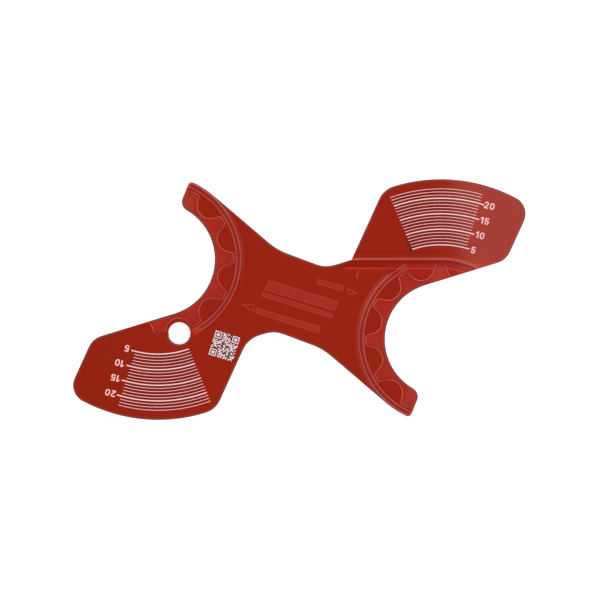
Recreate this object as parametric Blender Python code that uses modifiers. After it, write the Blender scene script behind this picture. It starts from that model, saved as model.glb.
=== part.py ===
"""Chain gap gauge, moulded in one piece from tinted plastic.

A plate with two hooks that seat on a derailleur pulley and two wings that carry a scale.
The plan is the same after half a turn, but the right wing hangs below the hooks on a web,
so that it can pass behind the largest sprocket. Seen from above, +X runs along the gauge
and the left wing points towards -Y. Lengths are in metres and angles in degrees,
anticlockwise from +X. Plan points are complex numbers, x + yj.
"""
import cmath
import math

import bmesh
import bpy

# Levels, counted up from the surface that the right wing lies on
PLATE_THICKNESS = 0.0025
WING_DROP = 0.0030
RIB_HEIGHT = 0.0011
POCKET_DEPTH = 0.0008

# Pulley: the toothed wheel that a hook seats on, whose outline is sunk into the hook
CHAIN_PITCH = 0.0127
PULLEY_TEETH = 12
TOOTH_ANGLE = 0.9
TOOTH_FLANK_ANGLE = 33.0
TOOTH_RISE = 0.00053
TOOTH_TIP_FLOOR_BEND = 0.00015
SEAT_RADIUS = 0.0040
SEAT_INSET = 0.00066
POCKET_BEND = 0.00035

# Hooks: each one is drawn about its pulley's centre, and ends in an arm
HOOKS_HEADING = 164.2
NOTCH_LIP = 0.00175
ARM_END = 68.3
ARM_TIP_OUTER_BEND = 0.0013
ARM_TIP_INNER_BEND = 0.00305
ARM_HEADING = 139.6

# Rib round the back of each hook, just outside the tips of the teeth
RIB_CLEARANCE = 0.0005
RIB_WIDTH = 0.00185
RIB_BEND = 0.0005
RIB_TOP_CORNER_BEND = 0.00005
RIB_END_GAP = 4.15

# Neck between the hooks, drawn in from the rims of their arms
NECK_LENGTH = 0.0402
NECK_WAIST = 0.0147
NECK_HEADING = 159.5
NECK_BEND = 0.0196

# Wings: the scale of each one is concentric with its hook
WING_REACH = 0.0272
WING_EDGE_HEADING = 197.0
WING_SIDE_HEADING = 245.5
WING_OUTER_SIDE = 0.00865
WING_INNER_SIDE = 0.03686
WING_HEEL_BEND = 0.00644
WING_OUTER_BEND = 0.0058
WING_INNER_BEND = 0.0075

# Armpits, where a hook's plate runs from the neck to a wing
ARMPIT_SHELF = 0.00145
ARMPIT_NECK_BEND = 0.0089
ARMPIT_WING_BEND = 0.0085
ARMPIT_STEP_BEND = 0.002

# Step down to the right wing, just outside the tips of the teeth
STEP_LEDGE = 0.0017
WEB_THICKNESS = 0.0032
STEP_CORNER_BEND = 0.0008
WEB_CORNER_BEND = 0.0008

# Hanging hole, in a roller's seat next to the left wing
HOLE_SEAT = -3
HOLE_SHIFT = 0.00083
HOLE_RADIUS = 0.0035

# Finish of the rims, the ledge that ribs and webs leave inside them, and fineness of the facets
EDGE_BEND = 0.0003
RIM_LEDGE = 0.00005
BEND_SHARE = 0.45
BEND_SEGMENTS = 3
HOLE_STEPS = 60
FACET_SAG = 0.00002
SAME_PLACE = 0.000001

LEFT = 1j


def direction(degrees):
    return cmath.rect(1.0, math.radians(degrees))


def cross(first, second):
    return (first.conjugate() * second).imag


def seat_angle(seat):
    """Where the roller's seat of a number lies on the left hook."""
    return TOOTH_ANGLE + (seat + 0.5) * 360.0 / PULLEY_TEETH


WING_FLOOR = 0.0
WING_TOP = WING_FLOOR + PLATE_THICKNESS
HOOK_FLOOR = WING_FLOOR + WING_DROP
HOOK_TOP = HOOK_FLOOR + PLATE_THICKNESS

PITCH_RADIUS = CHAIN_PITCH / 2.0 / math.sin(math.pi / PULLEY_TEETH)
SEAT_REACH = PITCH_RADIUS - SEAT_INSET
TOOTH_TIP_RADIUS = SEAT_REACH + TOOTH_RISE
NOTCH_RADIUS = SEAT_REACH - SEAT_RADIUS - NOTCH_LIP
RIB_INNER_RADIUS = TOOTH_TIP_RADIUS + RIB_CLEARANCE
RIB_OUTER_RADIUS = RIB_INNER_RADIUS + RIB_WIDTH
RIM_SETBACK = EDGE_BEND + RIM_LEDGE
ARM_RADIUS = RIB_OUTER_RADIUS + RIM_SETBACK
STEP_RADIUS = TOOTH_TIP_RADIUS + STEP_LEDGE
WING_RADIUS = TOOTH_TIP_RADIUS + WING_REACH
HOLE_REACH = SEAT_REACH + HOLE_SHIFT
RIB_END = seat_angle(HOLE_SEAT) + math.degrees(math.asin(HOLE_RADIUS / HOLE_REACH)) + RIB_END_GAP

LEFT_HOOK = (ARM_RADIUS + NECK_LENGTH / 2.0) * direction(HOOKS_HEADING)
RIGHT_HOOK = -LEFT_HOOK


class Straight:
    """An endless straight edge with the plastic on its left."""

    def __init__(self, point, along):
        self.point = point
        self.along = along

    @classmethod
    def beside(cls, centre, heading, distance):
        """The edge that passes a centre at a distance, with the centre on its left."""
        along = direction(heading)
        return cls(centre - distance * LEFT * along, along)

    @classmethod
    def touching(cls, circle, heading):
        return cls.beside(circle.centre, heading, circle.turn * circle.radius)

    def shifted(self, left):
        return Straight(self.point + left * LEFT * self.along, self.along)

    def nearest(self, point):
        ahead = (self.along.conjugate() * (point - self.point)).real
        return self.point + ahead * self.along

    def trace(self, start, end):
        return [start]


class Round:
    """A round edge: turn is +1 round plastic and -1, clockwise, round a gap."""

    def __init__(self, centre, radius, turn):
        self.centre = centre
        self.radius = radius
        self.turn = turn

    def shifted(self, left):
        return Round(self.centre, self.radius - self.turn * left, self.turn)

    def nearest(self, point):
        return self.centre + self.radius * (point - self.centre) / abs(point - self.centre)

    def trace(self, start, end):
        """Points from start up to, but without, end, close enough to keep the facets' sag."""
        spoke = start - self.centre
        sweep = self.turn * cmath.phase((end - self.centre) / spoke) % math.tau
        if math.isclose(sweep, math.tau):
            return [start]
        step = 2.0 * math.acos(1.0 - FACET_SAG / self.radius)
        facets = max(1, math.ceil(sweep / step))
        turns = (self.turn * sweep * facet / facets for facet in range(facets))
        return [self.centre + spoke * cmath.rect(1.0, turn) for turn in turns]


def crossing(first, second):
    """The point where an outline passes from one endless edge to the next."""
    if isinstance(first, Straight) and isinstance(second, Straight):
        ahead = cross(second.point - first.point, second.along) / cross(first.along, second.along)
        return first.point + ahead * first.along
    line, circle = (first, second) if isinstance(first, Straight) else (second, first)
    foot = line.nearest(circle.centre)
    half_chord = math.sqrt(max(circle.radius ** 2 - abs(foot - circle.centre) ** 2, 0.0))
    leaves_circle = (line is first) == (circle.turn > 0)
    return foot + line.along * (half_chord if leaves_circle else -half_chord)


def fitting_bend(bend, edge, following, room):
    """A bend between two straight edges, limited to its share of the shorter one."""
    if isinstance(edge, Round) or isinstance(following, Round):
        return bend
    half_turn = abs(cmath.phase(following.along / edge.along)) / 2.0
    return math.copysign(min(abs(bend), BEND_SHARE * room / math.tan(half_turn)), bend)


def outline(path):
    """Closed plan outline, anticlockwise, from pairs of an edge and the bend at its end.

    A bend is a corner's radius: positive where the corner stands out, negative in a hollow,
    and 0 where the two edges touch or meet sharply.
    """
    edges = [edge for edge, _ in path]
    sharp = [crossing(edge, following) for edge, following in zip(edges, edges[1:] + edges[:1])]
    lengths = [abs(end - start) for start, end in zip(sharp[-1:] + sharp[:-1], sharp)]
    rooms = [min(pair) for pair in zip(lengths, lengths[1:] + lengths[:1])]
    path = [
        (edge, fitting_bend(bend, edge, following, room))
        for (edge, bend), following, room in zip(path, edges[1:] + edges[:1], rooms)
    ]
    corners = []
    for (edge, bend), following in zip(path, edges[1:] + edges[:1]):
        centre = crossing(edge.shifted(bend), following.shifted(bend))
        corners.append((edge.nearest(centre), centre, following.nearest(centre)))
    points = []
    for (edge, bend), before, after in zip(path, corners[-1:] + corners[:-1], corners):
        points += edge.trace(before[2], after[0])
        if bend:
            points += Round(after[1], abs(bend), math.copysign(1.0, bend)).trace(after[0], after[2])
    return points


def neck_edge(turned):
    return Straight.beside(0.0, NECK_HEADING + turned, ARM_RADIUS - NECK_WAIST)


def hook_path(centre, turned):
    """Edges of a hook, from the neck round the arm's tip to the edge that leads to the wing."""
    arm = Round(centre, ARM_RADIUS, 1)
    notch = Round(centre, NOTCH_RADIUS, -1)
    return [
        (neck_edge(turned), -NECK_BEND),
        (Straight.touching(arm, ARM_HEADING + turned), 0.0),
        (arm, ARM_TIP_OUTER_BEND),
        (Straight.beside(centre, ARM_END + 180.0 + turned, 0.0), ARM_TIP_INNER_BEND),
        (notch, 0.0),
    ]


def wing_edge(centre, turned):
    return Straight.touching(Round(centre, NOTCH_RADIUS, -1), WING_EDGE_HEADING + turned)


def wing_path(centre, turned):
    """Edges of a wing beyond the edge that runs out to it from the notch."""
    return [
        (Straight.beside(centre, WING_SIDE_HEADING + turned, WING_OUTER_SIDE), WING_OUTER_BEND),
        (Round(centre, WING_RADIUS, 1), WING_INNER_BEND),
    ]


def wing_inner_side(centre, turned):
    return Straight.beside(centre, WING_SIDE_HEADING + 180.0 + turned, WING_INNER_SIDE)


def step_line(centre, turned):
    return Straight.touching(Round(centre, STEP_RADIUS, 1), turned)


def armpit_edge(centre, turned):
    """The edge between the neck and a wing: it leaves a short shelf beside the wing."""
    step = step_line(centre, turned)
    wing_corner = crossing(step, wing_inner_side(centre, turned))
    along = direction(WING_EDGE_HEADING + 180.0 + turned)
    return Straight(wing_corner - ARMPIT_SHELF * step.along, along)


def step_path():
    """Edges where the hooks' plate ends above the right wing."""
    return [
        (Round(RIGHT_HOOK, STEP_RADIUS, 1), 0.0),
        (step_line(RIGHT_HOOK, 180.0), ARMPIT_STEP_BEND),
        (armpit_edge(RIGHT_HOOK, 180.0), -ARMPIT_NECK_BEND),
    ]


def web_back_path():
    """Edges of the web's far side, under the hooks' plate."""
    back = Round(RIGHT_HOOK, STEP_RADIUS - WEB_THICKNESS, -1)
    return [
        (Straight.touching(back, 0.0), 0.0),
        (back, STEP_CORNER_BEND),
    ]


def hook_plate_outline():
    """The two hooks and the left wing, which are one level plate."""
    return outline(
        hook_path(LEFT_HOOK, 0.0)
        + [(wing_edge(LEFT_HOOK, 0.0), WING_HEEL_BEND)]
        + wing_path(LEFT_HOOK, 0.0)
        + [(wing_inner_side(LEFT_HOOK, 0.0), -ARMPIT_WING_BEND)]
        + [(armpit_edge(LEFT_HOOK, 0.0), -ARMPIT_NECK_BEND)]
        + hook_path(RIGHT_HOOK, 180.0)
        + [(wing_edge(RIGHT_HOOK, 180.0), STEP_CORNER_BEND)]
        + step_path()
    )


def right_wing_outline():
    return outline(
        [(wing_edge(RIGHT_HOOK, 180.0), WING_HEEL_BEND)]
        + wing_path(RIGHT_HOOK, 180.0)
        + [(wing_inner_side(RIGHT_HOOK, 180.0), WEB_CORNER_BEND)]
        + web_back_path()
    )


def web_outline():
    """The band that carries the right wing, set back from the rounded rims of both plates."""
    step, step_edge, (armpit, _) = step_path()
    path = (
        [(wing_edge(RIGHT_HOOK, 180.0), STEP_CORNER_BEND), step, step_edge, (armpit, 0.0)]
        + [(wing_inner_side(RIGHT_HOOK, 180.0), WEB_CORNER_BEND)]
        + web_back_path()
    )
    return outline([
        (edge.shifted(RIM_SETBACK), bend - RIM_SETBACK if bend else 0.0) for edge, bend in path
    ])


def rib_outline(centre, turned):
    """The curved rib on a hook: it stands just inside the rounded edge of the arm."""
    corner = RIB_BEND + RIB_TOP_CORNER_BEND
    widest_tip_bend = RIB_WIDTH - corner - RIB_TOP_CORNER_BEND
    tip_bend = min(ARM_TIP_OUTER_BEND - RIM_SETBACK, widest_tip_bend)
    arm_end = Straight.beside(centre, ARM_END + 180.0 + turned, 0.0)
    return outline([
        (Round(centre, RIB_OUTER_RADIUS, 1), tip_bend),
        (arm_end.shifted(RIM_SETBACK), corner),
        (Round(centre, RIB_INNER_RADIUS, -1), corner),
        (Straight.beside(centre, RIB_END + turned, 0.0), corner),
    ])


def pulley_outline(centre, turned):
    """A pulley wheel: teeth with round tips and a roller's seat between each two."""
    tip_bend = TOOTH_TIP_FLOOR_BEND + POCKET_BEND
    path = []
    for number in range(PULLEY_TEETH):
        angle = seat_angle(number) + turned
        seat = Round(centre + SEAT_REACH * direction(angle), SEAT_RADIUS, -1)
        path += [
            (Round(centre, TOOTH_TIP_RADIUS, 1), tip_bend),
            (Straight.touching(seat, angle + 180.0 - TOOTH_FLANK_ANGLE), 0.0),
            (seat, 0.0),
            (Straight.touching(seat, angle + TOOTH_FLANK_ANGLE), tip_bend),
        ]
    return outline(path)


def round_rim(shape, level, bend):
    """Round the edges of a plate that lie at one level."""
    rim = [
        edge for edge in shape.edges
        if all(math.isclose(vert.co.z, level, abs_tol=SAME_PLACE) for vert in edge.verts)
    ]
    bmesh.ops.bevel(
        shape, geom=rim, offset=bend, segments=BEND_SEGMENTS, profile=0.5, affect="EDGES",
        material=-1,
    )


def plate(name, points, floor, top, floor_bend=0.0, top_bend=0.0):
    """A flat plate over a plan outline, with rounded rims where a bend is given."""
    shape = bmesh.new()
    base = shape.faces.new([shape.verts.new((point.real, point.imag, floor)) for point in points])
    raised = bmesh.ops.extrude_face_region(shape, geom=[base])["geom"]
    lifted = [item for item in raised if isinstance(item, bmesh.types.BMVert)]
    bmesh.ops.translate(shape, verts=lifted, vec=(0.0, 0.0, top - floor))
    bmesh.ops.recalc_face_normals(shape, faces=shape.faces)
    if floor_bend:
        round_rim(shape, floor, floor_bend)
    if top_bend:
        round_rim(shape, top, top_bend)
    mesh = bpy.data.meshes.new(name)
    shape.to_mesh(mesh)
    shape.free()
    mesh.shade_smooth()
    mesh.set_sharp_from_angle(angle=math.radians(35.0))
    return bpy.data.objects.new(name, mesh)


def hanging_hole_cutter():
    """A turned cutter that flares at both faces, so that the hole's mouths are rounded."""
    flare = [math.radians(90.0 * step / BEND_SEGMENTS) for step in range(BEND_SEGMENTS + 1)]
    wide = HOLE_RADIUS + EDGE_BEND
    upper = [
        (wide - EDGE_BEND * math.sin(turn), HOOK_TOP - EDGE_BEND * (1.0 - math.cos(turn)))
        for turn in flare
    ]
    lower = [(radius, HOOK_FLOOR + HOOK_TOP - level) for radius, level in reversed(upper)]
    overrun = PLATE_THICKNESS
    ends = ((0.0, HOOK_TOP + overrun), (wide, HOOK_TOP + overrun))
    feet = ((wide, HOOK_FLOOR - overrun), (0.0, HOOK_FLOOR - overrun))
    profile = [*ends, *upper, *lower, *feet]

    mesh = bpy.data.meshes.new("hanging_hole_cutter")
    points = [(radius, 0.0, level) for radius, level in profile]
    mesh.from_pydata(points, [(spot, spot + 1) for spot in range(len(points) - 1)], [])
    cutter = bpy.data.objects.new("hanging_hole_cutter", mesh)
    place = LEFT_HOOK + HOLE_REACH * direction(seat_angle(HOLE_SEAT))
    cutter.location = (place.real, place.imag, 0.0)
    turning = cutter.modifiers.new("turn", "SCREW")
    turning.axis = "Z"
    turning.angle = math.tau
    turning.steps = HOLE_STEPS
    turning.render_steps = HOLE_STEPS
    turning.use_merge_vertices = True
    turning.merge_threshold = SAME_PLACE
    return cutter


def tinted_plastic():
    material = bpy.data.materials.new("tinted red plastic")
    material.use_nodes = True
    surface = material.node_tree.nodes["Principled BSDF"]
    surface.inputs["Base Color"].default_value = (0.319, 0.018, 0.007, 1.0)
    surface.inputs["Roughness"].default_value = 0.3
    surface.inputs["Metallic"].default_value = 0.0
    return material


def new_collection(name):
    collection = bpy.data.collections.new(name)
    bpy.context.scene.collection.children.link(collection)
    return collection


def join_by(body, operation, tools, collection):
    """Unite tool solids with the body, or cut them from it."""
    for tool in tools:
        collection.objects.link(tool)
        tool.hide_render = True
        tool.display_type = "WIRE"
        step = body.modifiers.new(tool.name, "BOOLEAN")
        step.operation = operation
        step.solver = "EXACT"
        step.object = tool


def build():
    for thing in list(bpy.data.objects):
        bpy.data.objects.remove(thing)
    parts = new_collection("chain_gap_gauge")
    tools = new_collection("gauge_tools")

    body = plate(
        "gauge_body", hook_plate_outline(), HOOK_FLOOR, HOOK_TOP, EDGE_BEND, EDGE_BEND,
    )
    body.data.materials.append(tinted_plastic())
    parts.objects.link(body)

    added = [
        plate("right_wing", right_wing_outline(), WING_FLOOR, WING_TOP, EDGE_BEND, EDGE_BEND),
        plate("web", web_outline(), WING_FLOOR + EDGE_BEND, HOOK_TOP - EDGE_BEND),
    ]
    cut = [hanging_hole_cutter()]
    for side, centre, turned in (("left", LEFT_HOOK, 0.0), ("right", RIGHT_HOOK, 180.0)):
        added.append(plate(
            side + "_rib", rib_outline(centre, turned),
            HOOK_FLOOR + EDGE_BEND, HOOK_TOP + RIB_HEIGHT, top_bend=RIB_BEND,
        ))
        cut.append(plate(
            side + "_pulley_pocket", pulley_outline(centre, turned),
            HOOK_TOP - POCKET_DEPTH, HOOK_TOP + RIB_HEIGHT, floor_bend=POCKET_BEND,
        ))
    join_by(body, "UNION", added, tools)
    join_by(body, "DIFFERENCE", cut, tools)


build()
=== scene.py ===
"""Chain gap gauge of tinted red plastic, seen from straight above on a white ground.

The moulded body is the CAD solid with its facets merged and shaded smooth. The scales, their
numbers and the square code are white ink that lies on it, and the signs on the neck stand up
from it. Lengths are in metres, angles in degrees, anticlockwise from +X.
"""
import math

import bmesh
import bpy
from mathutils import Matrix, Vector


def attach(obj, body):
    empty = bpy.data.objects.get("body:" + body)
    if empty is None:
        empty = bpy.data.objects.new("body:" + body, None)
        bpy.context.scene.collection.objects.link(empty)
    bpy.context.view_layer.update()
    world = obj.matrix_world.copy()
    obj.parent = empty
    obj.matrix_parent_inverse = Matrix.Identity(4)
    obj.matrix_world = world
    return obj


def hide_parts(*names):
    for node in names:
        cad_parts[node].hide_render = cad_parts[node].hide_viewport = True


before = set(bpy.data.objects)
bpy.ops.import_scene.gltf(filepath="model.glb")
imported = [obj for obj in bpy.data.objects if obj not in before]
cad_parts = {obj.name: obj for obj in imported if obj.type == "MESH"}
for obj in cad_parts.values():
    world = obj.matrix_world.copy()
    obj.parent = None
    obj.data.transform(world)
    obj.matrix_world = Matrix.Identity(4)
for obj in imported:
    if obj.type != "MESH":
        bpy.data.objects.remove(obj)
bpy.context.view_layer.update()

MM = 0.001

# Levels and places of the solid
WING_TOP = 2.5 * MM
HOOK_TOP = 5.5 * MM
POCKET_FLOOR = 4.7 * MM
RIGHT_HOOK = Vector((45.421 * MM, -12.852 * MM, 0.0))
NOTCH_RADIUS = 18.1 * MM
TIP_RADIUS = 24.4 * MM
RIB_CREST = 25.87 * MM
STEP_RADIUS = 26.1 * MM

# Rings about a hook's centre, and headings from it, that the plastic's coats keep to
POCKET_RING = (19.65 * MM, 24.85 * MM)
TOOTH_TIP_RING = (23.8 * MM, 24.85 * MM)
RIB_RING = (24.9 * MM, 26.95 * MM)
RIB_END_RING = (24.9 * MM, 26.8 * MM)
RIB_PAINTED_LIGHT_RING = (24.7 * MM, 27.0 * MM)
RIB_SHOULDER_RING = (26.4 * MM, 27.1 * MM)
PRINT_RING = (30.2 * MM, 48.6 * MM)
OPEN_TOOTH_HEADINGS = (-96.0, -82.0)
PRINT_HEADINGS = (-104.3, -71.3)
CRISP = 0.1 * MM

# Width of the painted shade along the rims
RIM_WIDTH = 1.7 * MM

# Facets of the solid: what is merged, what is one flat face, and what stays a sharp edge
SAME_PLACE = 0.0005 * MM
FLAT_ANGLE = 0.2
SHARP_ANGLE = 40.0

# Camera: straight down on the hooks' level, in a square view 600 pixels across
CAMERA_PLACE = (0.05 * MM, -0.22 * MM, 675.5 * MM)
VIEW_WIDTH = 192.3 * MM
VIEW_PIXELS = 600.0
SENSOR_WIDTH = 36.0

# Light: a tent that is dark straight above, and one panel
TENT_LEVEL = 1.28
TENT_TOP_LEVEL = 0.02
TENT_TOP_START = 0.84
TENT_TOP_END = 0.93
PANEL_PLACE = (0.3775, 0.05, 1.0)
PANEL_SIZE = (0.5, 0.7)
PANEL_LEVEL = 0.85
PANEL_TURN = 5.0
FLOOR_SIZE = 3.0
FLOOR_GLOW = 0.75

# Ink and raised signs
INK_THICKNESS = 0.02 * MM
SIGN_HEIGHT = 0.06 * MM
PAD_HEIGHT = 0.03 * MM
SIGN_LINE = 0.4 * MM

# Scale of a wing: arcs about the hook's centre
SCALE_ZERO = 25.42 * MM
FIRST_MARK = 5
LAST_MARK = 23
LONG_MARKS = (5, 10, 15, 20)
LONG_MARK_WIDTH = 0.38 * MM
SHORT_MARK_WIDTH = 0.23 * MM
MARK_STEPS = 36

# Figures of the scale: outlines in hundredths of their height
FIGURES = {
    "1": ((30, 100), (49, 100), (49, 0), (30, 0), (30, 74), (5, 59), (5, 79)),
    "2": (
        (1, 0), (66, 0), (66, 17), (29, 17), (57, 48), (64, 61), (66, 73), (62, 88), (50, 97),
        (33, 100), (16, 97), (5, 87), (1, 70), (19, 70), (22, 80), (33, 84), (44, 80), (47, 72),
        (45, 63), (39, 55), (1, 14),
    ),
    "5": (
        (5, 100), (62, 100), (62, 84), (22, 84), (20, 59), (36, 66), (52, 62), (63, 50), (66, 33),
        (62, 16), (50, 4), (33, 0), (15, 4), (4, 15), (0, 30), (18, 30), (22, 20), (33, 16),
        (44, 20), (48, 33), (44, 45), (33, 50), (22, 46), (18, 41), (2, 43),
    ),
}
ROUND_WIDTH = 66
ROUND_STROKE = 17
ROUND_STEPS = 8
FIGURE_HEIGHT = 2.15 * MM
FIGURE_GAP = 22
NUMBER_TILT = -15.0

# Square code: printed cells in rows and columns
CODE_SIDE = 8.1 * MM
CODE_CELLS = 25
CODE_TILT = -17.5
CODE_PLACE = (224.3, 346.0)
FINDER_CELLS = 7


def add_node(tree, kind, inputs=None, **settings):
    """A node of a kind with its settings, each input given a value or joined to a socket."""
    made = tree.nodes.new("ShaderNode" + kind)
    for name, value in settings.items():
        setattr(made, name, value)
    for name, value in (inputs or {}).items():
        if isinstance(value, bpy.types.NodeSocket):
            tree.links.new(value, made.inputs[name])
        else:
            made.inputs[name].default_value = value
    return made


def linear(hex_colour):
    """Linear colour from an sRGB hex value."""
    parts = [int(hex_colour[place:place + 2], 16) / 255.0 for place in (1, 3, 5)]
    return (*(
        part / 12.92 if part <= 0.04045 else ((part + 0.055) / 1.055) ** 2.4 for part in parts
    ), 1.0)


def at_pixel(x, y, level):
    """The place on the gauge, at a level, of a point of the view from above."""
    pixel = VIEW_WIDTH / VIEW_PIXELS * (CAMERA_PLACE[2] - level) / (CAMERA_PLACE[2] - HOOK_TOP)
    middle = VIEW_PIXELS / 2.0
    return Vector((
        CAMERA_PLACE[0] + (x - middle) * pixel, CAMERA_PLACE[1] + (middle - y) * pixel, 0.0,
    ))


def new_material(name):
    material = bpy.data.materials.new(name)
    material.use_nodes = True
    tree = material.node_tree
    return material, tree, tree.nodes["Principled BSDF"]


class Plan:
    """Where a point of the plastic lies on the gauge, and masks that are placed by it.

    Reach and heading are taken from the nearer hook's centre: the left half of the gauge is
    turned onto the right half, and the heading is 0 towards the neck. Depth is taken from the
    step's edge, which is straight and then bends round the right hook.
    """

    def __init__(self, tree):
        self.tree = tree
        place = add_node(tree, "TexCoord").outputs
        spot = add_node(tree, "SeparateXYZ", {"Vector": place["Object"]}).outputs
        facing = add_node(tree, "SeparateXYZ", {"Vector": place["Normal"]}).outputs
        self.place = place["Object"]
        self.x = spot["X"]
        self.z = spot["Z"]
        self.bent = self.rising(facing["Z"], 0.97, 0.7)
        self.looks_down = self.rising(facing["Y"], 0.9, 0.2)

        side = add_node(tree, "Math", {0: spot["X"]}, operation="SIGN").outputs[0]
        across = add_node(tree, "Math", {0: spot["X"], 1: side}, operation="MULTIPLY").outputs[0]
        up = add_node(tree, "Math", {0: spot["Y"], 1: side}, operation="MULTIPLY").outputs[0]
        turned = add_node(tree, "CombineXYZ", {"X": across, "Y": up}).outputs[0]
        spoke = add_node(
            tree, "VectorMath", {0: RIGHT_HOOK, 1: turned}, operation="SUBTRACT").outputs[0]
        self.reach = add_node(tree, "VectorMath", {0: spoke}, operation="LENGTH").outputs["Value"]
        along = add_node(tree, "SeparateXYZ", {"Vector": spoke}).outputs
        bearing = add_node(
            tree, "Math", {0: along["Y"], 1: along["X"]}, operation="ARCTAN2").outputs[0]
        self.heading = add_node(tree, "Math", {0: bearing}, operation="DEGREES").outputs[0]

        beyond = add_node(tree, "Math", {0: along["X"], 1: 0.0}, operation="MINIMUM").outputs[0]
        bow = add_node(tree, "CombineXYZ", {"X": beyond, "Y": along["Y"]}).outputs[0]
        bow_reach = add_node(tree, "VectorMath", {0: bow}, operation="LENGTH").outputs["Value"]
        self.depth = add_node(
            tree, "Math", {0: STEP_RADIUS, 1: bow_reach}, operation="SUBTRACT").outputs[0]

        self.right = self.rising(self.x, 0.0, CRISP)
        self.on_hook = self.between(self.z, HOOK_TOP - 1.2 * MM, HOOK_TOP + 1.2 * MM, CRISP)
        self.on_wing = self.between(self.z, WING_TOP - 0.4 * MM, WING_TOP + 0.4 * MM, CRISP)
        self.by_step = self.all_of(self.right, self.rising(along["Y"], -15.0 * MM, -15.1 * MM))

    def rising(self, value, start, end):
        """0 up to the start and 1 from the end on."""
        return add_node(self.tree, "MapRange", {
            "Value": value, "From Min": start, "From Max": end,
        }).outputs["Result"]

    def between(self, value, low, high, edge):
        """1 from low to high, falling to 0 over a soft edge on either side."""
        offset = add_node(
            self.tree, "Math", {0: value, 1: (low + high) / 2.0}, operation="SUBTRACT").outputs[0]
        away = add_node(self.tree, "Math", {0: offset}, operation="ABSOLUTE").outputs[0]
        half = (high - low) / 2.0
        return self.rising(away, half + edge, half)

    def all_of(self, *masks):
        whole = masks[0]
        for mask in masks[1:]:
            whole = add_node(
                self.tree, "Math", {0: whole, 1: mask}, operation="MULTIPLY").outputs[0]
        return whole

    def any_of(self, *masks):
        most = masks[0]
        for mask in masks[1:]:
            most = add_node(self.tree, "Math", {0: most, 1: mask}, operation="MAXIMUM").outputs[0]
        return most

    def none_of(self, *masks):
        most = self.any_of(*masks)
        return add_node(self.tree, "Math", {0: 1.0, 1: most}, operation="SUBTRACT").outputs[0]


def painted_rim_shade(plan):
    """Painted shade and painted reflection on the rims and a little of the face beside them.

    The teeth, the feet of the rib and the foot of the step have no such rim.
    """
    rounded = add_node(plan.tree, "Bevel", {"Radius": RIM_WIDTH}, samples=8).outputs["Normal"]
    rounded = add_node(plan.tree, "VectorTransform", {
        "Vector": rounded,
    }, vector_type="NORMAL", convert_from="WORLD", convert_to="OBJECT").outputs["Vector"]
    rounded_up = add_node(plan.tree, "SeparateXYZ", {"Vector": rounded}).outputs["Z"]
    teeth = plan.all_of(
        plan.on_hook, plan.between(plan.reach, *POCKET_RING, CRISP),
        plan.rising(plan.heading, 67.0, 64.0),
    )
    rib_feet = plan.all_of(plan.on_hook, plan.any_of(
        plan.all_of(
            plan.between(plan.reach, 22.0 * MM, 26.4 * MM, CRISP),
            plan.between(plan.heading, -66.0, 68.0, 1.0),
        ),
        plan.all_of(
            plan.between(plan.reach, 26.4 * MM, 29.0 * MM, 0.3 * MM),
            plan.between(plan.heading, -66.0, 34.0, 4.0),
        ),
    ))
    step_foot = plan.all_of(
        plan.by_step, plan.on_wing, plan.between(plan.depth, -2.0 * MM, 2.0 * MM, 1.0 * MM))
    rim = plan.rising(rounded_up, 0.99, 0.85)
    return plan.all_of(rim, plan.none_of(teeth, rib_feet, step_foot)), "#794d4a"


def run_out_tips(plan):
    """The tips of the outermost teeth, which have no end wall."""
    return plan.all_of(
        plan.bent, plan.between(plan.reach, *TOOTH_TIP_RING, CRISP),
        plan.between(plan.heading, *OPEN_TOOTH_HEADINGS, 1.0),
    )


def rib_end(plan):
    """The rib's end by the outermost tooth, which fades into the plate."""
    return plan.all_of(
        plan.on_hook, plan.between(plan.reach, *RIB_END_RING, 0.4 * MM),
        plan.between(plan.heading, -63.0, -60.5, 2.5),
    )


def pocket_painted_light_and_shade(plan):
    """The sunken pulley outline: a floor painted lighter, and painted highlights on the walls.

    Past the rib's end the outermost tooth runs out without an end wall, and so does the one at
    the arm's tip. Walls that look down the page get a brighter painted highlight.
    """
    behind_rib = plan.between(plan.heading, -58.75, 65.25, 3.0)
    full = plan.any_of(plan.rising(plan.reach, 24.3 * MM, 22.9 * MM), behind_rib)
    arm_tip = plan.all_of(
        plan.on_hook, plan.between(plan.reach, NOTCH_RADIUS, TIP_RADIUS, CRISP),
        plan.between(plan.heading, 62.0, 80.0, 8.0),
    )
    floor = plan.between(plan.z, POCKET_FLOOR - 0.1 * MM, POCKET_FLOOR + 0.1 * MM, 0.25 * MM)
    wall = plan.all_of(
        plan.on_hook, plan.bent, plan.between(plan.reach, *POCKET_RING, CRISP))
    return [
        # Painted light: the floor is lighter, as light through the thinner plastic, and lighter
        # again towards the tips, by the step and at the arm's tip, against the shade of the rib
        # and walls
        (plan.all_of(floor, full), "#ac2e24"),
        (plan.all_of(floor, full, plan.rising(plan.reach, 22.2 * MM, 24.4 * MM)), "#ba3428"),
        (plan.all_of(floor, full, plan.by_step, plan.rising(plan.x, 41.0 * MM, 43.0 * MM)),
         "#b2362c"),
        (arm_tip, "#b0382e"),
        painted_rim_shade(plan),
        # Painted highlights on the walls, brighter where they look down the page
        (wall, "#9e2818"),
        (plan.all_of(wall, full, plan.rising(plan.heading, 63.0, 60.0), plan.looks_down),
         "#d25c48"),
    ]


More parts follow.
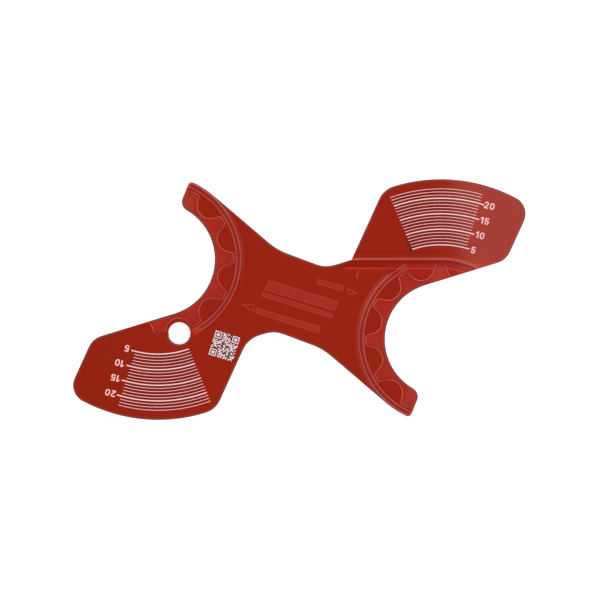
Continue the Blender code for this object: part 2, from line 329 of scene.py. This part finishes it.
def rib_painted_light_and_shade(plan):
    """The rib: painted highlights on the shoulders, a thin crest of painted shade between them,
    and a painted glow on the foot on the open side.

    The outer shoulder of the right rib gets a brighter painted highlight towards the step.
    """
    foot = plan.all_of(
        plan.on_hook, plan.between(plan.reach, *RIB_RING, 0.8 * MM),
        plan.rising(plan.reach, 24.5 * MM, 24.8 * MM),
        plan.between(plan.heading, -62.0, 36.0, 4.0),
        plan.any_of(plan.right, plan.rising(plan.heading, -20.0, 5.0)),
    )
    raised = plan.rising(plan.z, HOOK_TOP + 0.3 * MM, HOOK_TOP + 0.7 * MM)
    crest = plan.between(plan.reach, RIB_CREST - 0.12 * MM, RIB_CREST + 0.12 * MM, 0.35 * MM)
    painted_shoulder_highlight = plan.all_of(
        plan.right, plan.on_hook, plan.between(plan.reach, *RIB_SHOULDER_RING, 0.5 * MM),
        plan.rising(plan.heading, -8.0, -22.0), plan.rising(plan.heading, -63.5, -61.0),
    )
    return [
        (foot, "#ac4034"), (raised, "#a02d23"), (plan.all_of(raised, crest), "#8c2a23"),
        (painted_shoulder_highlight, "#b2463c"),
    ]


def step_painted_light_and_shade(plan):
    """Painted shade and painted highlights in bands along the step, on the plate above the web,
    and painted light on the wing at the step's foot, against the step's shade.

    Each band of the list has its stretch, its first and last depth, its soft edge and its tint.
    """
    on_step = plan.all_of(plan.by_step, plan.on_hook)
    near_neck = plan.between(plan.x, 10.0 * MM, 27.5 * MM, 1.5 * MM)
    past_neck = plan.rising(plan.x, 14.0 * MM, 16.0 * MM)
    on_plate = plan.rising(plan.z, HOOK_TOP - 0.4 * MM, HOOK_TOP - 0.2 * MM)
    far = plan.all_of(on_plate, plan.rising(plan.x, 28.0 * MM, 30.0 * MM))
    past_tooth = plan.all_of(on_plate, plan.rising(plan.x, 47.0 * MM, 48.0 * MM))
    foot = plan.all_of(plan.by_step, plan.on_wing)
    # Painted light on the wing at the step's foot, against the shade the step casts there
    coats = [
        (plan.all_of(foot, plan.rising(plan.depth, -5.5 * MM, -0.5 * MM)), "#a82815"),
        (plan.all_of(foot, plan.rising(plan.depth, -1.5 * MM, -0.5 * MM)), "#b8321c"),
        (plan.all_of(
            foot, plan.rising(plan.x, 28.0 * MM, 32.0 * MM),
            plan.rising(plan.depth, -0.8 * MM, -0.3 * MM),
        ), "#c04028"),
    ]
    # Along the step: the broad lighter bands are painted light, the narrow dark bands painted
    # shade, and the light lines painted highlights
    for stretch, first, last, edge, tint in (
        (plan.all_of(past_neck, on_plate), 1.9, 4.4, 1.0, "#a02412"),
        (far, 1.9, 5.5, 1.0, "#a2241a"),
        (past_tooth, 2.4, 9.0, 1.0, "#9e200e"),
        (past_neck, 0.9, 1.8, 0.2, "#8b2114"),
        (past_neck, 1.05, 1.2, 0.2, "#80180a"),
        (near_neck, 2.3, 2.5, 0.25, "#84160a"),
        (past_neck, 3.28, 3.44, 0.16, "#be3e2c"),
        (on_step, -0.1, 0.55, 0.25, "#b4483c"),
    ):
        band = plan.between(plan.depth, first * MM, last * MM, edge * MM)
        coats.append((plan.all_of(on_step, stretch, band), tint))
    return coats


def print_painted_shadow(plan):
    """Painted shadow of the ink: among the marks and the code's cells the plastic is darker."""
    code = add_node(plan.tree, "Mapping", {
        "Vector": plan.place, "Location": at_pixel(*CODE_PLACE, HOOK_TOP),
        "Rotation": (0.0, 0.0, math.radians(CODE_TILT)),
    }, vector_type="TEXTURE").outputs[0]
    code = add_node(plan.tree, "SeparateXYZ", {"Vector": code}).outputs
    half = CODE_SIDE / 2.0
    return [
        (plan.all_of(
            plan.between(plan.reach, *PRINT_RING, 0.3 * MM),
            plan.between(plan.heading, *PRINT_HEADINGS, 1.0),
        ), "#78201f"),
        (plan.all_of(
            plan.between(code["X"], -half, half, CRISP),
            plan.between(code["Y"], -half, half, CRISP),
        ), "#5c1616"),
    ]


def moulded_plastic(name, body, painted_light_and_shade=True):
    """Polycarbonate, tinted red and injection moulded with a polished face.

    The tint makes the flat faces one deep red. Over it, light and shade are painted into the
    colour: the sunken outlines are painted lighter and pinker, as light from the ground through
    thin plastic, and the left wing's end, the rims, the walls, the rib, the plate along the step
    and the print get painted shade, shadow and highlights. Melt flow leaves broad faint clouds,
    and the mould's polish a fine unevenness that only the gloss shows.
    """
    material, tree, surface = new_material(name)
    plan = Plan(tree)
    clouds = add_node(tree, "TexNoise", {
        "Vector": plan.place, "Scale": 1.0 / (14.0 * MM), "Detail": 3.0, "Roughness": 0.5,
    }).outputs["Fac"]
    colour = add_node(tree, "Mix", {
        "Factor": clouds, "A": linear(body[0]), "B": linear(body[1]),
    }, data_type="RGBA").outputs["Result"]
    coats = []
    if painted_light_and_shade:
        # Painted shade: the left wing's outer end is darker, as if less light reached it
        coats.append((plan.rising(plan.x, -35.0 * MM, -70.0 * MM), "#942210"))
        # Painted light: the plate beside the rib is lighter, against the shade the rib casts on
        # it
        coats.append((plan.all_of(
            plan.on_hook, plan.between(plan.reach, *RIB_PAINTED_LIGHT_RING, 1.7 * MM),
            plan.between(plan.heading, -64.0, 72.0, 3.0),
        ), "#a82715"))
        coats += pocket_painted_light_and_shade(plan) + rib_painted_light_and_shade(plan) + step_painted_light_and_shade(plan) + print_painted_shadow(plan)
        # Painted to cancel the light and shade on the walls at the open teeth's tips, and a
        # painted glow at the rib's end
        coats += [(run_out_tips(plan), "#a82e20"), (rib_end(plan), "#ae3e32")]
    for where, tint in coats:
        colour = add_node(tree, "Mix", {
            "Factor": where, "A": colour, "B": linear(tint),
        }, data_type="RGBA").outputs["Result"]

    polish = add_node(tree, "TexNoise", {
        "Vector": plan.place, "Scale": 1.0 / (0.9 * MM), "Detail": 2.0, "Roughness": 0.5,
    }).outputs["Fac"]
    relief = add_node(tree, "Bump", {
        "Height": polish, "Strength": 0.03, "Distance": 0.02 * MM,
    }).outputs["Normal"]
    gloss = add_node(tree, "MapRange", {
        "Value": clouds, "From Min": 0.3, "From Max": 0.7, "To Min": 0.05, "To Max": 0.08,
    }).outputs["Result"]
    for socket, entry in ((colour, "Base Color"), (gloss, "Roughness"), (relief, "Normal")):
        tree.links.new(socket, surface.inputs[entry])
    # Half of the reflection comes back from the underside, through the tint
    surface.inputs["IOR"].default_value = 1.5
    surface.inputs["Specular IOR Level"].default_value = 1.0
    surface.inputs["Specular Tint"].default_value = (1.0, 0.5, 0.45, 1.0)
    if painted_light_and_shade:
        # The ends of the rib and of the open teeth fade, so they do not shine
        tree.links.new(
            plan.none_of(run_out_tips(plan), rib_end(plan)),
            surface.inputs["Specular IOR Level"])
    return material


def printed_ink(name, full, thin):
    """White pad-printing ink: flat and nearly matt, a little pink where the red shows through."""
    material, tree, surface = new_material(name)
    point = add_node(tree, "TexCoord").outputs["Object"]
    cover = add_node(tree, "TexNoise", {
        "Vector": point, "Scale": 1.0 / (0.6 * MM), "Detail": 3.0, "Roughness": 0.6,
    }).outputs["Fac"]
    colours = add_node(tree, "Mix", {
        "Factor": cover, "A": linear(thin), "B": linear(full),
    }, data_type="RGBA")
    tree.links.new(colours.outputs["Result"], surface.inputs["Base Color"])
    surface.inputs["Roughness"].default_value = 0.55
    surface.inputs["IOR"].default_value = 1.45
    return material


def finish_piece(name, shape, material, level=0.0):
    """Put a shape at its level into the scene, riding on the gauge."""
    bmesh.ops.translate(shape, verts=shape.verts, vec=(0.0, 0.0, level))
    mesh = bpy.data.meshes.new(name)
    shape.to_mesh(mesh)
    shape.free()
    mesh.materials.clear()
    mesh.materials.append(material)
    piece = bpy.data.objects.new(name, mesh)
    bpy.context.scene.collection.objects.link(piece)
    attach(piece, "root")
    return piece


def thicken(shape, height):
    """Raise the flat faces of a shape into closed solids."""
    raised = bmesh.ops.extrude_face_region(shape, geom=shape.faces[:])["geom"]
    lifted = [item for item in raised if isinstance(item, bmesh.types.BMVert)]
    bmesh.ops.translate(shape, verts=lifted, vec=(0.0, 0.0, height))
    bmesh.ops.recalc_face_normals(shape, faces=shape.faces)


def moulded_body(material):
    shape = bmesh.new()
    shape.from_mesh(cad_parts["gauge_body"].data)
    bmesh.ops.remove_doubles(shape, verts=shape.verts, dist=SAME_PLACE)
    bmesh.ops.dissolve_limit(
        shape, angle_limit=math.radians(FLAT_ANGLE), verts=shape.verts, edges=shape.edges,
    )
    for face in shape.faces:
        face.smooth = True
    for edge in shape.edges:
        edge.smooth = edge.is_manifold and edge.calc_face_angle(0.0) < math.radians(SHARP_ANGLE)
    body = finish_piece("moulded_body", shape, material)
    shading = body.modifiers.new("flat faces stay flat", "WEIGHTED_NORMAL")
    shading.keep_sharp = True
    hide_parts("gauge_body")


class Wing:
    """Where the print of a wing goes: its hook, its level, and the ends of its marks.

    A line of ends runs from the first mark's to the last one's.
    """

    def __init__(self, name, hook, level, turned, inner_ends, long_ends, short_ends, numbers):
        self.name = name
        self.hook = hook
        self.level = level
        self.turned = turned
        self.inner_ends = inner_ends
        self.long_ends = long_ends
        self.short_ends = short_ends
        self.numbers = numbers

    def heading(self, ends, mark):
        """Heading from the hook's centre to a line of ends, at a mark."""
        first, last = (at_pixel(x, y, self.level) for x, y in ends)
        point = first.lerp(last, (mark - FIRST_MARK) / (LAST_MARK - FIRST_MARK)) - self.hook
        return math.atan2(point.y, point.x)


# The marks' ends and the numbers' middles, as points of the view from above
LEFT_WING = Wing(
    "left", hook=-RIGHT_HOOK, level=HOOK_TOP, turned=180.0,
    inner_ends=((189.3, 350.0), (210.8, 402.2)), long_ends=((131.2, 350.8), (113.8, 404.4)),
    short_ends=((135.2, 351.8), (118.2, 405.4)),
    numbers={
        "5": (127.0, 348.3), "10": (119.8, 363.1), "15": (115.6, 377.9), "20": (110.5, 393.0),
    },
)
RIGHT_WING = Wing(
    "right", hook=RIGHT_HOOK, level=WING_TOP, turned=0.0,
    inner_ends=((412.3, 249.6), (390.2, 197.8)), long_ends=((469.6, 248.2), (487.6, 194.6)),
    short_ends=((466.4, 247.6), (482.4, 194.4)),
    numbers={
        "5": (473.3, 250.2), "10": (479.8, 235.2), "15": (484.5, 220.8), "20": (489.4, 205.8),
    },
)


def scale_marks(wing, long):
    """A wing's long or short arcs, as flat bands about the centre of its hook."""
    shape = bmesh.new()
    for mark in range(FIRST_MARK, LAST_MARK + 1):
        if long != (mark in LONG_MARKS):
            continue
        radius = SCALE_ZERO + mark * MM
        half_width = (LONG_MARK_WIDTH if long else SHORT_MARK_WIDTH) / 2.0
        start = wing.heading(wing.long_ends if long else wing.short_ends, mark)
        sweep = wing.heading(wing.inner_ends, mark) - start
        spoke = Vector((math.cos(start), math.sin(start), 0.0))
        rim = [
            shape.verts.new(wing.hook + (radius + side * half_width) * spoke) for side in (-1, 1)
        ]
        edge = shape.edges.new(rim)
        bmesh.ops.spin(
            shape, geom=[*rim, edge], cent=wing.hook, axis=(0, 0, 1), dvec=(0, 0, 0),
            angle=sweep, steps=MARK_STEPS, use_duplicate=False,
        )
    thicken(shape, INK_THICKNESS)
    return shape


def round_loop(inset):
    """Corners of an upright figure 0, drawn in from its outline."""
    corners = []
    radius = ROUND_WIDTH / 2.0 - inset
    for middle, start in ((100 - ROUND_WIDTH / 2.0, 0.0), (ROUND_WIDTH / 2.0, 180.0)):
        for step in range(ROUND_STEPS + 1):
            turn = math.radians(start + 180.0 * step / ROUND_STEPS)
            corners.append((
                ROUND_WIDTH / 2.0 + radius * math.cos(turn), middle + radius * math.sin(turn)))
    return corners


def add_figure(shape, figure, left):
    """Draw a figure from its left side on, and give the place of its right side."""
    if figure == "0":
        outer, inner = (
            [shape.verts.new((left + x, y, 0.0)) for x, y in round_loop(inset)]
            for inset in (0, ROUND_STROKE))
        for place in range(len(outer)):
            shape.faces.new((outer[place - 1], outer[place], inner[place], inner[place - 1]))
        return left + ROUND_WIDTH
    outline = FIGURES[figure]
    shape.faces.new([shape.verts.new((left + x, y, 0.0)) for x, y in outline])
    return left + max(x for x, y in outline)


def scale_numbers(wing):
    shape = bmesh.new()
    for words, (x, y) in wing.numbers.items():
        number = bmesh.new()
        width = -FIGURE_GAP
        for figure in words:
            width = add_figure(number, figure, width + FIGURE_GAP)
        tilt = Matrix.Rotation(math.radians(NUMBER_TILT + wing.turned), 4, "Z")
        place = Matrix.Translation(at_pixel(x, y, wing.level)) @ tilt
        place @= Matrix.Scale(FIGURE_HEIGHT / 100.0, 4)
        place @= Matrix.Translation((-width / 2.0, -50.0, 0.0))
        bmesh.ops.transform(number, matrix=place, verts=number.verts)
        mesh = bpy.data.meshes.new("number")
        number.to_mesh(mesh)
        number.free()
        shape.from_mesh(mesh)
        bpy.data.meshes.remove(mesh)
    thicken(shape, INK_THICKNESS)
    return shape


def code_cell_inked(column, row):
    """Square rings in three corners, and between them a pattern that stands for no message."""
    last = CODE_CELLS - FINDER_CELLS
    for corner in ((0, 0), (last, 0), (0, last)):
        across, down = column - corner[0], row - corner[1]
        if -1 <= across <= FINDER_CELLS and -1 <= down <= FINDER_CELLS:
            ring = max(abs(across - FINDER_CELLS // 2), abs(down - FINDER_CELLS // 2))
            return ring in (0, 1, 3)
    # The weights only scatter the cells evenly
    return (column * column * 7 + row * row * 11 + column * row * 5 + row * 3) % 17 % 2 == 0


def square_code():
    shape = bmesh.new()
    bmesh.ops.create_grid(
        shape, x_segments=CODE_CELLS, y_segments=CODE_CELLS, size=CODE_SIDE / 2.0)
    cell = CODE_SIDE / CODE_CELLS
    bare = []
    for face in shape.faces:
        middle = face.calc_center_median()
        column = int((middle.x + CODE_SIDE / 2.0) / cell)
        row = int((CODE_SIDE / 2.0 - middle.y) / cell)
        if not code_cell_inked(column, row):
            bare.append(face)
    bmesh.ops.delete(shape, geom=bare, context="FACES")
    thicken(shape, INK_THICKNESS)
    place = Matrix.Translation(at_pixel(*CODE_PLACE, HOOK_TOP))
    place @= Matrix.Rotation(math.radians(CODE_TILT), 4, "Z")
    bmesh.ops.transform(shape, matrix=place, verts=shape.verts)
    return shape


# Corners of the signs on the neck, as points of the view from above
ARROWS = (
    ((240.3, 304.1), (253.4, 311.9), (255.3, 304.4)),
    ((346.4, 287.3), (347.6, 295.0), (359.5, 294.0)),
)
PADS = (
    ((269.0, 280.0), (263.7, 289.8), (334.8, 311.3), (338.6, 301.3)),
    ((262.2, 291.6), (261.2, 296.3), (331.8, 318.7), (333.8, 313.8)),
    ((256.0, 307.6), (254.8, 313.2), (318.9, 333.8), (320.9, 326.3)),
    ((318.0, 278.6), (316.5, 284.2), (343.0, 291.8), (344.2, 285.6)),
)
TICK = ((358.3, 270.0), (355.2, 277.5), (357.6, 278.4), (360.0, 270.6))


def sign_face(shape, corners):
    face = shape.faces.new([shape.verts.new(at_pixel(x, y, HOOK_TOP)) for x, y in corners])
    face.normal_update()
    return face


def raised_signs():
    """Two outlined arrows, a tick, and the outlines of the plain pads."""
    shape = bmesh.new()
    for corners in ARROWS + PADS:
        face = sign_face(shape, corners)
        bmesh.ops.inset_region(
            shape, faces=[face], thickness=SIGN_LINE, use_boundary=True, use_even_offset=True)
        bmesh.ops.delete(shape, geom=[face], context="FACES_ONLY")
    sign_face(shape, TICK)
    thicken(shape, SIGN_HEIGHT)
    return shape


def plain_pads():
    """Low frosted pads inside the four outlines."""
    shape = bmesh.new()
    for corners in PADS:
        sign_face(shape, corners)
    thicken(shape, PAD_HEIGHT)
    return shape


def make_floor():
    """White paper: plain white to the camera, but for the gauge's soft shadow close to it."""
    shape = bmesh.new()
    bmesh.ops.create_grid(shape, x_segments=1, y_segments=1, size=FLOOR_SIZE)
    mesh = bpy.data.meshes.new("floor")
    shape.to_mesh(mesh)
    shape.free()
    material = bpy.data.materials.new("white paper ground")
    material.use_nodes = True
    tree = material.node_tree
    tree.nodes.clear()
    sight = add_node(tree, "LightPath").outputs
    seen = sight["Is Camera Ray"]
    for ray in ("Is Glossy Ray", "Is Transmission Ray"):
        seen = add_node(tree, "Math", {0: seen, 1: sight[ray]}, operation="MAXIMUM").outputs[0]
    glow = add_node(tree, "Math", {0: seen, 1: FLOOR_GLOW}, operation="MULTIPLY").outputs[0]
    paper = add_node(tree, "BsdfDiffuse", {"Color": linear("#e8e8e8")}).outputs[0]
    white = add_node(tree, "Emission", {"Color": linear("#ffffff"), "Strength": glow}).outputs[0]
    both = add_node(tree, "AddShader", {0: paper, 1: white}).outputs[0]
    add_node(tree, "OutputMaterial", {"Surface": both})
    mesh.materials.append(material)
    floor = bpy.data.objects.new("floor", mesh)
    bpy.context.scene.collection.objects.link(floor)


def make_light():
    """A light tent, bright all round and dark straight above, and a soft panel on the right."""
    world = bpy.data.worlds.new("light tent")
    bpy.context.scene.world = world
    world.use_nodes = True
    tree = world.node_tree
    tree.nodes.clear()
    heading = add_node(tree, "TexCoord").outputs["Generated"]
    up = add_node(tree, "SeparateXYZ", {"Vector": heading}).outputs["Z"]
    wall = add_node(tree, "MapRange", {
        "Value": up, "From Min": TENT_TOP_START, "From Max": TENT_TOP_END,
        "To Min": TENT_LEVEL, "To Max": TENT_TOP_LEVEL,
    }).outputs["Result"]
    tent = add_node(tree, "Background", {"Color": linear("#ffffff"), "Strength": wall}).outputs[0]
    white = add_node(tree, "Background", {"Color": linear("#ffffff"), "Strength": 1.0}).outputs[0]
    sight = add_node(tree, "LightPath").outputs
    shown = add_node(tree, "MixShader", {0: sight["Is Camera Ray"], 1: tent, 2: white})
    add_node(tree, "OutputWorld", {"Surface": shown.outputs[0]})

    panel = bpy.data.lights.new("overhead panel", "AREA")
    panel.shape = "RECTANGLE"
    panel.size, panel.size_y = PANEL_SIZE
    panel.energy = PANEL_LEVEL * math.pi * panel.size * panel.size_y
    holder = bpy.data.objects.new("overhead panel", panel)
    holder.location = PANEL_PLACE
    holder.rotation_euler = (0.0, 0.0, math.radians(PANEL_TURN))
    bpy.context.scene.collection.objects.link(holder)


def make_camera():
    lens = bpy.data.cameras.new("camera")
    lens.sensor_width = SENSOR_WIDTH
    lens.lens = SENSOR_WIDTH * (CAMERA_PLACE[2] - HOOK_TOP) / VIEW_WIDTH
    lens.clip_start = 0.01
    camera = bpy.data.objects.new("camera", lens)
    camera.location = CAMERA_PLACE
    bpy.context.scene.collection.objects.link(camera)
    bpy.context.scene.camera = camera


make_camera()
make_light()
make_floor()

plastic = moulded_plastic("polycarbonate, tinted red, moulded", ("#972212", "#9b2513"))
sign_plastic = moulded_plastic(
    "polycarbonate, tinted red, raised signs", ("#b23428", "#b6382c"), painted_light_and_shade=False)
pad_plastic = moulded_plastic(
    "polycarbonate, tinted red, frosted pads", ("#a42e22", "#a83226"), painted_light_and_shade=False)
broad_ink = printed_ink("white pad-printing ink, broad strokes", "#fecccc", "#fac0c0")
fine_ink = printed_ink("white pad-printing ink, fine lines", "#ffb4ac", "#f8a8a0")
code_ink = printed_ink("white pad-printing ink, code", "#ecd8da", "#e4caca")

moulded_body(plastic)
for wing in (LEFT_WING, RIGHT_WING):
    finish_piece(wing.name + "_long_marks", scale_marks(wing, long=True), broad_ink, wing.level)
    finish_piece(wing.name + "_short_marks", scale_marks(wing, long=False), fine_ink, wing.level)
    finish_piece(wing.name + "_scale_numbers", scale_numbers(wing), broad_ink, wing.level)
finish_piece("square_code", square_code(), code_ink, HOOK_TOP)
for name, shape, finish in (
    ("raised_signs", raised_signs(), sign_plastic), ("plain_pads", plain_pads(), pad_plastic),
):
    finish_piece(name, shape, finish, HOOK_TOP)

bpy.context.scene.view_settings.view_transform = "Standard"
